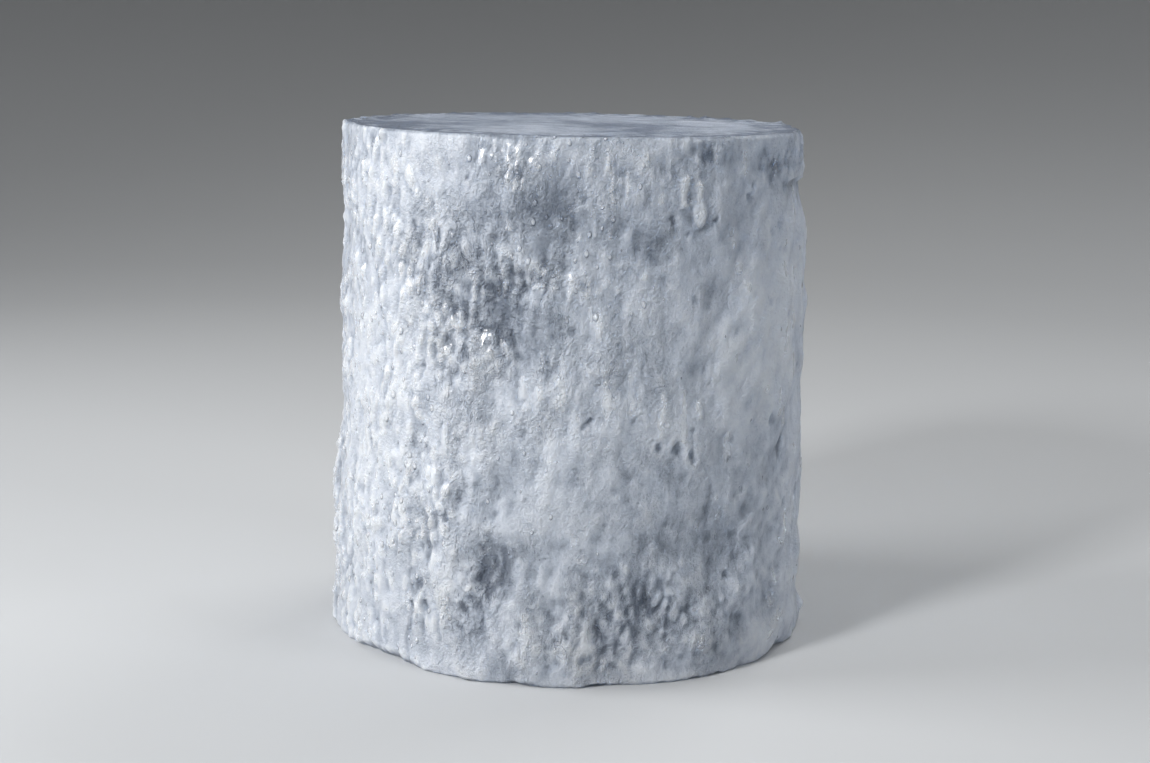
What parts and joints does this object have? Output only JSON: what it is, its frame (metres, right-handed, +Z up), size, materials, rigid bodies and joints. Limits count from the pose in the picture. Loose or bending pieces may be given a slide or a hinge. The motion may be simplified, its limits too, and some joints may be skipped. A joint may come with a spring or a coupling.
{
  "type": "ice core section",
  "caption": "Sawn section of a drilled ice core: an upright ice cylinder, flat at both ends, its wall worn by melting, with a collar ledge and chipped rims.",
  "frame": {"origin": "centre of the flat sawn base that the core stands on", "axes": "+Z up along the core's axis, -Y towards its front, +X to the front's right, where the collar ledge is"},
  "size_m": [0.1012, 0.1009, 0.106],
  "materials": {
    "ice": "cloudy bubbly ice with a wet, granular melted skin, partly see-through"
  },
  "bodies": {
    "root": {"ice_core": "ice"}
  },
  "joints": []
}
